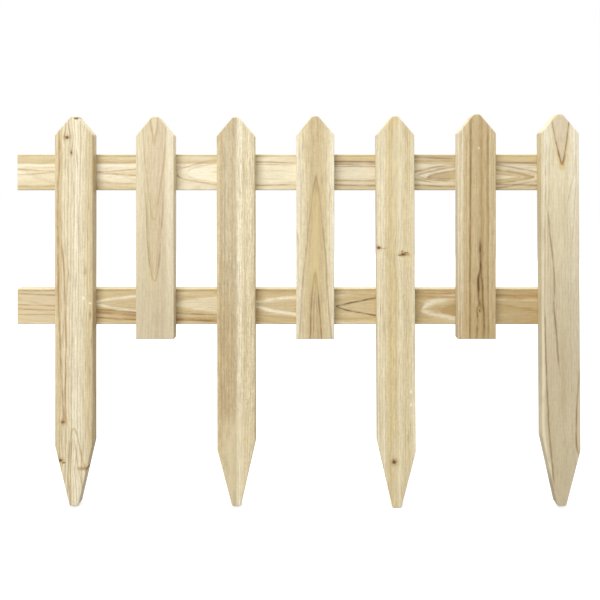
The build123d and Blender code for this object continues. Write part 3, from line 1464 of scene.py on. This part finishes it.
        ),
        "upper_rail": PlanedFir(
            bands=(
                (-23, Tone.TAN), (-17, Tone.STRAW), (-14.5, Tone.PALE), (-5, Tone.CREAM), (4, Tone.CREAM),
                (9.5, Tone.CREAM), (12, Tone.TAN), (19, Tone.STRAW), (23, Tone.TAN),
            ),
            pith_across=((0, 1.5), (714, -6)),
            pith_depth=((0, 60), (200, 52), (400, 50), (714, 58)),
            ring_width=2.6, ring_strength=0.3, fine_strength=0.45, fuzz=0.36, seed=8.0,
            shade=(
                (0, 0), (190, 0), (340, 0), (370, 0.28), (470, 0.35), (500, 0.4), (570, 0.4),
                (600, 0.35), (714, 0.35),
            ),
            shade_tone=Tone.GREY_TAN,
            streaks=(
                Streak(((0, 0), (78, 0)), 46.0, Tone.HONEY, 0.3),
                Streak(((0, 9), (75, 10)), 2.0, Tone.CREAM, 0.9),
                Streak(((0, -17), (75, -18)), 1.6, Tone.RUST, 0.45),
                Streak(((100, 9), (158, 8.5)), 2.2, Tone.CREAM, 0.9),
                Streak(((100, -13), (158, -15)), 1.8, Tone.UMBER, 0.65),
                Streak(((100, 13.5), (158, 12.5)), 1.2, Tone.RUST, 0.4),
                Streak(((190, -19), (256, -19)), 7.0, Tone.CREAM, 0.7),
                Streak(((190, 19), (256, 18)), 6.0, Tone.PALE, 0.7),
                Streak(((270, 0), (350, 0)), 30.0, Tone.STRAW, 0.45),
                Streak(((270, 14), (350, 12)), 1.4, Tone.RUST, 0.7),
                Streak(((270, 10.5), (350, 9)), 1.2, Tone.RUST, 0.5),
                Streak(((270, -17), (350, -17)), 1.5, Tone.RUST, 0.7),
                Streak(((370, 19), (470, 19)), 4.0, Tone.HONEY, 0.7),
                Streak(((370, 14.5), (470, 13)), 1.5, Tone.BARK, 0.8),
                Streak(((370, 10.5), (470, 10)), 1.4, Tone.BARK, 0.7),
                Streak(((370, 7.0), (440, 7.5), (480, 6)), 1.3, Tone.BARK, 0.6),
                Streak(((370, 0), (470, -3)), 5.0, Tone.PALE, 0.5),
                # A dark line along the top edge of the front face, just under the rim: painted edge shade,
                # not a growth line.
                Streak(((0, 20.9), (300, 20.9), (714, 20.9)), 1.3, Tone.UMBER, 0.6),
                Streak(((370, -10), (470, -11)), 1.8, Tone.UMBER, 0.8),
                Streak(((370, -15), (470, -17)), 1.6, Tone.BARK, 0.6),
                Streak(((480, 19), (560, 18.5)), 1.5, Tone.BARK, 0.6),
                Streak(((480, 14.5), (560, 15)), 1.4, Tone.UMBER, 0.9),
                Streak(((480, -12), (560, -16)), 2.2, Tone.PALE, 0.9),
                Streak(((480, -16), (560, -19)), 1.6, Tone.BARK, 0.7),
                Streak(((590, 19), (700, 19)), 5.0, Tone.HONEY, 0.7),
                Streak(((590, 14), (700, 12)), 1.4, Tone.BARK, 0.6),
                Streak(((590, -15), (700, -18)), 1.6, Tone.BARK, 0.6),
            ),
            arches=(
                Arch(0.5, 48.0, -1, 3.0, 40, 0.9, 110, 1.5, Tone.RUST, 0.65),
                Arch(-0.4, 103.0, 1, 4.4, 50, 0.85, 110, 1.5, Tone.RUST, 0.6, Tone.HONEY, 0.5),
                Arch(0.0, 198.0, 1, 15.4, 46, 0.5, 170, 1.5, Tone.UMBER, 0.9),
                Arch(-0.5, 213.0, 1, 14.5, 46, 0.5, 170, 2.4, Tone.STRAW, 0.6, Tone.CREAM, 0.9),
                Arch(-4.0, 494.0, 1, 13.0, 61, 0.55, 130, 1.6, Tone.BARK, 0.6),
                Arch(-5.0, 506.0, 1, 9.5, 55, 0.55, 120, 1.5, Tone.UMBER, 0.9, slant=0.05),
                Arch(-6.0, 518.7, 1, 6.2, 44, 0.55, 110, 1.6, Tone.BARK, 0.6, Tone.UMBER, 0.7, slant=0.07),
                Arch(-6.0, 663.0, -1, 7.5, 41, 0.9, 110, 3.2, Tone.UMBER, 0.9, Tone.HONEY, 0.6),
                Arch(-6.0, 645.0, -1, 5.0, 41, 0.9, 90, 1.5, Tone.BARK, 0.45, Tone.PALE, 0.6),
                Arch(-6.0, 680.0, -1, 13.0, 50, 0.7, 110, 1.7, Tone.BARK, 0.55),
            ),
        ),
        "lower_rail": PlanedFir(
            bands=(
                (-23, Tone.PALE), (-20.6, Tone.PALE), (-18, Tone.HONEY), (-10, Tone.STRAW),
                (-3, Tone.HONEY), (3, Tone.STRAW), (10, Tone.HONEY), (17, Tone.STRAW),
                (21, Tone.HONEY), (23, Tone.PALE),
            ),
            pith_across=((0, 20), (714, -14)),
            pith_depth=((0, 60), (300, 56), (714, 62)),
            ring_width=2.8, ring_strength=0.5, fine_strength=0.5, fuzz=0.4, late_tone=Tone.RUST, seed=9.0,
            shade=(
                (0, 0), (90, 0.1), (140, 0.4), (230, 0.3), (320, 0.4), (430, 0.25), (540, 0.5),
                (640, 0.65), (714, 0.65),
            ),
            shade_tone=Tone.UMBER,
            streaks=(
                Streak(((0, 0), (78, 0)), 50.0, Tone.ROSE, 0.7),
                # A dark line along the top edge of the front face, just under the rim: painted edge shade,
                # not a growth line.
                Streak(((0, 20.6), (300, 20.7), (714, 20.6)), 1.5, Tone.UMBER, 0.9),
                Streak(((0, 1.9), (78, 0.5)), 1.2, Tone.RUST, 0.75),
                Streak(((0, -3.5), (78, -4.5)), 1.2, Tone.RUST, 0.75),
                Streak(((0, -9.8), (78, -10.5)), 1.1, Tone.RUST, 0.6),
                Streak(((0, 17), (78, 14)), 1.4, Tone.BARK, 0.6),
                Streak(((95, -3), (130, -6), (165, -10)), 1.8, Tone.BARK, 0.85),
                Streak(((95, -7), (130, -10), (165, -14)), 3.0, Tone.RUST, 0.8),
                Streak(((95, -14), (165, -18)), 1.5, Tone.BARK, 0.6),
                Streak(((190, -8), (256, -11)), 1.5, Tone.BARK, 0.7),
                Streak(((190, -15.5), (256, -17.5)), 3.0, Tone.RUST, 0.75),
                Streak(((190, -16.5), (256, -19)), 1.4, Tone.BARK, 0.7),
                Streak(((500, 13), (570, 12)), 3.0, Tone.UMBER, 0.9),
                Streak(((500, 17.5), (570, 17)), 1.6, Tone.RUST, 0.7),
                Streak(((590, 14), (700, 13)), 3.0, Tone.RUST, 0.6),
                Streak(((590, 8), (700, 7.5)), 2.0, Tone.STRAW, 0.8),
            ),
            arches=(
                Arch(4.5, 96.0, 1, 11.0, 60, 0.7, 130, 2.4, Tone.CREAM, 0.9, Tone.TAN, 0.8, slant=-0.04),
                Arch(3.0, 196.0, 1, 9.0, 50, 0.5, 110, 3.0, Tone.PALE, 0.4, Tone.CREAM, 0.5),
                Arch(3.0, 298.0, 1, 11.0, 56, 0.65, 130, 3.2, Tone.CREAM, 0.9, Tone.TAN, 0.8, slant=-0.05),
                Arch(0.1, 410.4, 1, 11.3, 49, 0.7, 120, 1.6, Tone.KNOT, 0.95, Tone.TAN, 0.7),
                Arch(-3.0, 521.0, 1, 15.0, 44, 0.6, 90, 6.0, Tone.CREAM, 0.7),
                Arch(-5.6, 547.0, 1, 7.0, 16, 0.5, 60, 1.4, Tone.UMBER, 0.8, Tone.UMBER, 0.8),
            ),
        ),
    }


def main() -> None:
    """Build the whole scene and report each piece."""
    logging.basicConfig(level=logging.INFO, format="%(name)s %(message)s")
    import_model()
    frame_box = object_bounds()
    low, high = (Vector(corner) for corner in frame_box)
    Studio(middle=0.5 * (low + high), foot=low.z).build()
    finishes = board_finishes()
    rails = ("upper_rail", "lower_rail")
    pickets = tuple(name for name in finishes if name not in rails)
    # How the stakes were nailed and sawn by hand, in millimetres.
    sweep = {"stake_3": 1.0, "stake_5": 2.4, "stake_7": 3.0}
    taper_error = {
        "stake_1": (1.0, 4.5),
        "stake_3": (-4.0, 4.5),
        "stake_5": (7.0, -5.0),
        "stake_7": (11.0, -5.5),
    }
    for name in pickets:
        Picket(
            name,
            finishes[name],
            "picket_wood",
            Run.UPRIGHT,
            sharpened="stake" in name,
            sweep=sweep.get(name, 0.0) * MM,
            taper_error=tuple(error * MM for error in taper_error.get(name, (0.0, 0.0))),
        ).build()
    for name in rails:
        Board(name, finishes[name], "rail_wood", Run.LEVEL).build()
    Staples(rails=rails, pickets=pickets).build()


if __name__ == "__main__":
    main()
